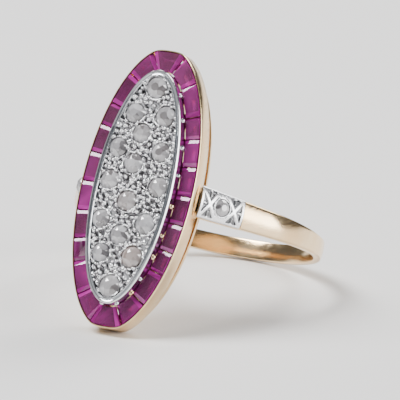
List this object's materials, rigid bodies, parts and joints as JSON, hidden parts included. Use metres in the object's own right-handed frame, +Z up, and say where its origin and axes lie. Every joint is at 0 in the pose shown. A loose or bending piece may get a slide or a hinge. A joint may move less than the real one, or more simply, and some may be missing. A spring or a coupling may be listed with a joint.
{
  "type": "navette ring",
  "caption": "Finger ring with a long oval head: a grain-set diamond plate inside a border of calibre-cut rubies, on a slim tapering band with capped shoulders.",
  "frame": {"origin": "under the middle of the ring's bounding box, on the surface that it lies on", "axes": "+X towards the head, +Y across the ring toward its left shoulder, +Z up from the surface; the finger hole's axis leans back from +Z"},
  "size_m": [0.0224, 0.0182, 0.0187],
  "materials": {
    "gold": "worn polish",
    "platinum": "bright cut, grained",
    "white_gold": "engraved",
    "ruby": "step cut",
    "diamond": "old cut"
  },
  "bodies": {
    "root": {"diamond_01": "diamond", "diamond_02": "diamond", "diamond_03": "diamond", "diamond_04": "diamond", "diamond_05": "diamond", "diamond_06": "diamond", "diamond_07": "diamond", "diamond_08": "diamond", "diamond_09": "diamond", "diamond_10": "diamond", "diamond_11": "diamond", "diamond_12": "diamond", "diamond_13": "diamond", "diamond_14": "diamond", "diamond_15": "diamond", "diamond_16": "diamond", "gold_mount": "gold", "platinum_plate": "platinum", "ruby_01": "ruby", "ruby_02": "ruby", "ruby_03": "ruby", "ruby_04": "ruby", "ruby_05": "ruby", "ruby_06": "ruby", "ruby_07": "ruby", "ruby_08": "ruby", "ruby_09": "ruby", "ruby_10": "ruby", "ruby_11": "ruby", "ruby_12": "ruby", "ruby_13": "ruby", "ruby_14": "ruby", "ruby_15": "ruby", "ruby_16": "ruby", "ruby_17": "ruby", "ruby_18": "ruby", "ruby_19": "ruby", "ruby_20": "ruby", "ruby_21": "ruby", "ruby_22": "ruby", "shoulder_cap_left": "white_gold", "shoulder_cap_right": "white_gold", "shoulder_diamond_left": "diamond", "shoulder_diamond_right": "diamond"}
  },
  "joints": []
}
